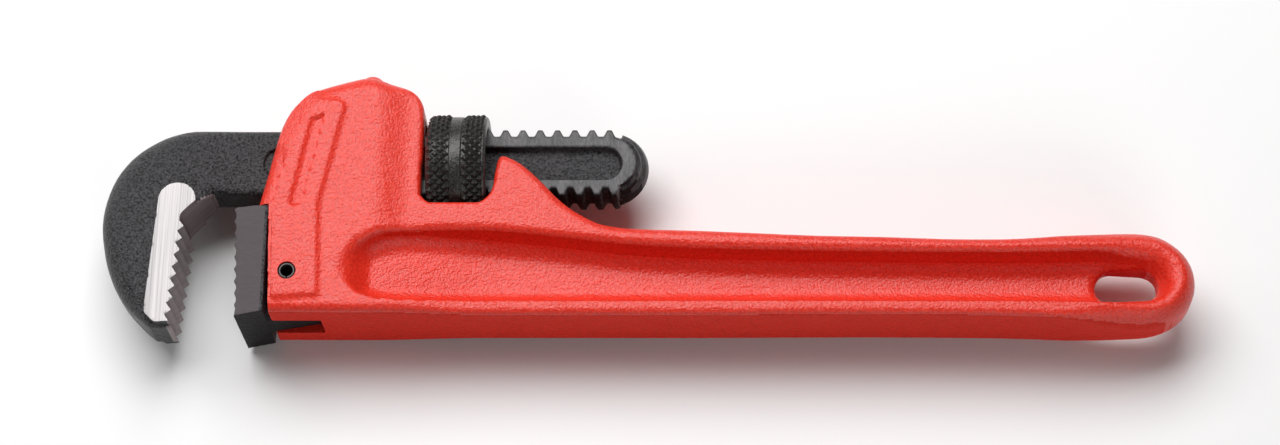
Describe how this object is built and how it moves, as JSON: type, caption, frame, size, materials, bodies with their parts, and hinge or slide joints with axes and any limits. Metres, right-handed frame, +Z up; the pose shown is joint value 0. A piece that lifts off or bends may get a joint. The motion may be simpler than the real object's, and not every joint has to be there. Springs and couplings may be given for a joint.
{
  "type": "pipe wrench",
  "caption": "Straight pipe wrench with an I-section cast handle, a hook jaw set by a knurled nut on its threaded shank, a pinned heel jaw and a hang hole.",
  "frame": {"origin": "middle of the whole wrench's box, on the surface that it lies on", "axes": "+X along the handle away from the jaws, +Y across the handle towards the roof of the housing, +Z up out of the side that faces up when it lies flat"},
  "size_m": [0.2494, 0.0636, 0.0256],
  "materials": {
    "paint": "glossy red-orange enamel over a cast surface",
    "forged_steel": "black oxide over a forged surface, milled on the thread and beside the teeth",
    "jaw_steel": "hardened grey with blackened ends",
    "black_steel": "black oxide",
    "nut_steel": "black oxide, knurled",
    "spring_steel": "plain spring steel"
  },
  "bodies": {
    "handle": {"handle": "paint", "heel_jaw": "jaw_steel", "heel_jaw_pin": "black_steel", "flat_spring": "spring_steel", "spring_pin": "spring_steel"},
    "rocker": {"coil_spring": "spring_steel"},
    "hook_jaw": {"hook_jaw": "forged_steel"},
    "adjusting_nut": {"adjusting_nut": "nut_steel"}
  },
  "joints": [
    {"name": "hook_rock", "type": "hinge", "parent": "handle", "child": "rocker", "pos_m": [-0.04311, 0.0086, 0.0128], "axis": [0, 0, 1], "range_deg": [-2, 0], "stiffness_Nm_per_rad": 8, "springref_deg": 3.44, "deforming": ["coil_spring", "flat_spring"]},
    {"name": "hook_slide", "type": "slide", "parent": "rocker", "child": "hook_jaw", "axis": [-1, 0, 0], "range_m": [-0.011, 0.036]},
    {"name": "nut_spin", "type": "hinge", "parent": "rocker", "child": "adjusting_nut", "pos_m": [-0.04311, 0.0086, 0.0128], "axis": [1, 0, 0], "range_deg": [-991, 3241]}
  ],
  "couplings": [
    {"joint": "nut_spin", "follows": "hook_slide", "rad_per_m": 1570.8}
  ]
}
